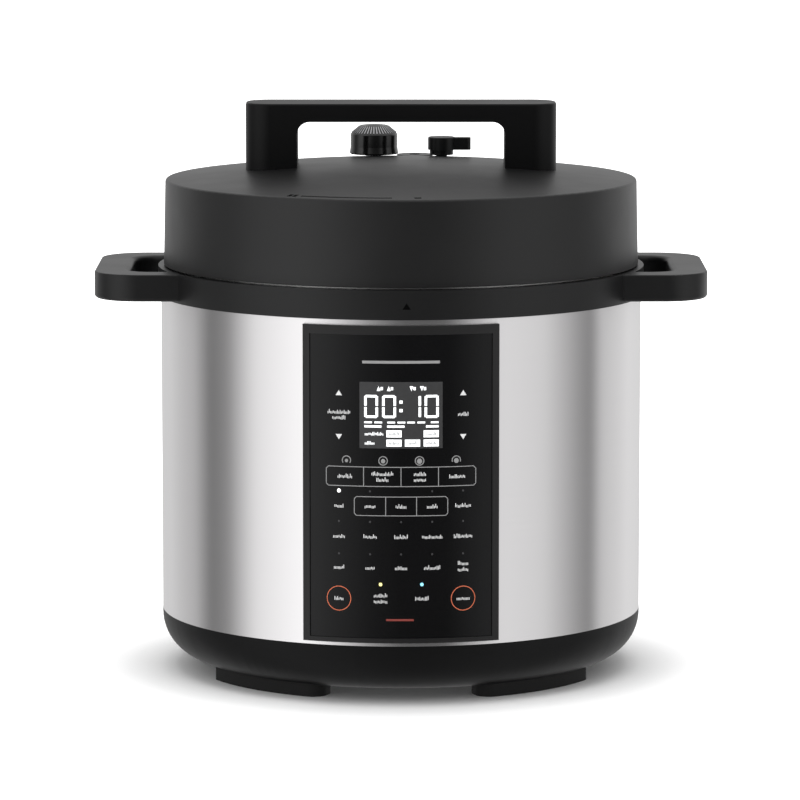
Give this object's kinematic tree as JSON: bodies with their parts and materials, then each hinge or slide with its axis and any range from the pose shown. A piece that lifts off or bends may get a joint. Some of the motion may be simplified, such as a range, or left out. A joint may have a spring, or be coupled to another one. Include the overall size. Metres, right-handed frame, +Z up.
{
  "type": "electric pressure cooker",
  "caption": "Electric pressure cooker: round steel body with a touch panel, ring with side handles, removable cooking pot, and twist-locking lid with bridge handle and steam valve.",
  "frame": {"origin": "on the table under the axis of the round body, at the level of the feet's undersides", "axes": "+Z up along the body's axis, -Y towards the control panel, +X to the right of someone facing the panel"},
  "size_m": [0.341, 0.2995, 0.3187],
  "materials": {
    "black_plastic": "satin moulded, fine grain",
    "gloss_black": "glossy touch face",
    "frame_plastic": "satin moulded",
    "steel": "vertically reflecting brushed sheet",
    "pot_steel": "spun and polished",
    "rubber": "matt",
    "silicone": "translucent white silicone",
    "aluminium": "cast, machined top",
    "circuit": "green solder mask",
    "component": "moulded",
    "screw_steel": "zinc plated",
    "display": "grey display module",
    "clear_cup": "frosted clear cup",
    "brass": "tinned blades"
  },
  "bodies": {
    "housing": {"base_housing": "black_plastic", "foot_front_right": "rubber", "foot_front_left": "rubber", "foot_rear_right": "rubber", "foot_rear_left": "rubber", "bottom_cover": "black_plastic", "bottom_cover_screws": "screw_steel", "outer_shell": "steel", "panel_frame": "frame_plastic", "panel_face": "gloss_black", "display_module": "display", "control_board": "circuit", "buzzer": "component", "control_board_screws": "screw_steel", "top_ring": "black_plastic", "liner": "pot_steel", "liner_legs": "screw_steel", "heating_plate": "aluminium", "heating_element": "screw_steel", "sensor_bracket": "screw_steel", "sensor_spring": "screw_steel", "pressure_switch": "component", "thermal_fuse": "component", "power_board": "circuit", "power_board_posts": "component", "power_board_screws": "screw_steel", "power_relay": "component", "power_transformer": "component", "filter_capacitor": "component", "power_inlet": "black_plastic", "inlet_pins": "brass", "inlet_screws": "screw_steel", "drip_cup_rail": "steel"},
    "sensor": {"thermal_sensor": "aluminium"},
    "drip_cup": {"drip_cup": "clear_cup"},
    "pot": {"inner_pot": "pot_steel"},
    "seal": {"sealing_ring": "silicone"},
    "lid": {"lid_cover": "black_plastic", "lid_handle": "black_plastic", "lid_handle_screws": "screw_steel", "steel_inner_lid": "pot_steel", "inner_lid_screws": "screw_steel", "seal_rack": "screw_steel", "vent_pipe": "screw_steel", "vent_pipe_nut": "screw_steel", "anti_block_shield": "pot_steel", "float_collar": "black_plastic"},
    "steam_valve": {"steam_valve_cap": "black_plastic"},
    "release_lever": {"release_lever": "black_plastic", "lever_clip": "screw_steel"},
    "float_valve": {"float_valve": "screw_steel", "float_seal": "silicone"}
  },
  "joints": [
    {"name": "pot_lift", "type": "slide", "parent": "housing", "child": "pot", "axis": [0, 0, 1], "range_m": [0, 0.175]},
    {"name": "lid_lift", "type": "slide", "parent": "pot", "child": "seal", "axis": [0, 0, 1], "range_m": [0, 0.12]},
    {"name": "lid_turn", "type": "hinge", "parent": "seal", "child": "lid", "pos_m": [0, 0, 0.25], "axis": [0, 0, 1], "range_deg": [0, 30]},
    {"name": "steam_valve_lift", "type": "slide", "parent": "lid", "child": "steam_valve", "axis": [0, 0, 1], "range_m": [0, 0.025]},
    {"name": "release_lever_turn", "type": "hinge", "parent": "lid", "child": "release_lever", "pos_m": [0.0233, 0.07, 0.285], "axis": [0, 0, 1], "range_deg": [0, 60]},
    {"name": "float_valve_rise", "type": "slide", "parent": "lid", "child": "float_valve", "axis": [0, 0, 1], "range_m": [0, 0.006]},
    {"name": "thermal_sensor_press", "type": "slide", "parent": "housing", "child": "sensor", "axis": [0, 0, 1], "range_m": [-0.003, 0], "stiffness_N_per_m": 600, "springref_m": 0.001, "deforming": ["sensor_spring"]},
    {"name": "drip_cup_slide", "type": "slide", "parent": "housing", "child": "drip_cup", "axis": [0, 0, -1], "range_m": [0, 0.045]}
  ]
}
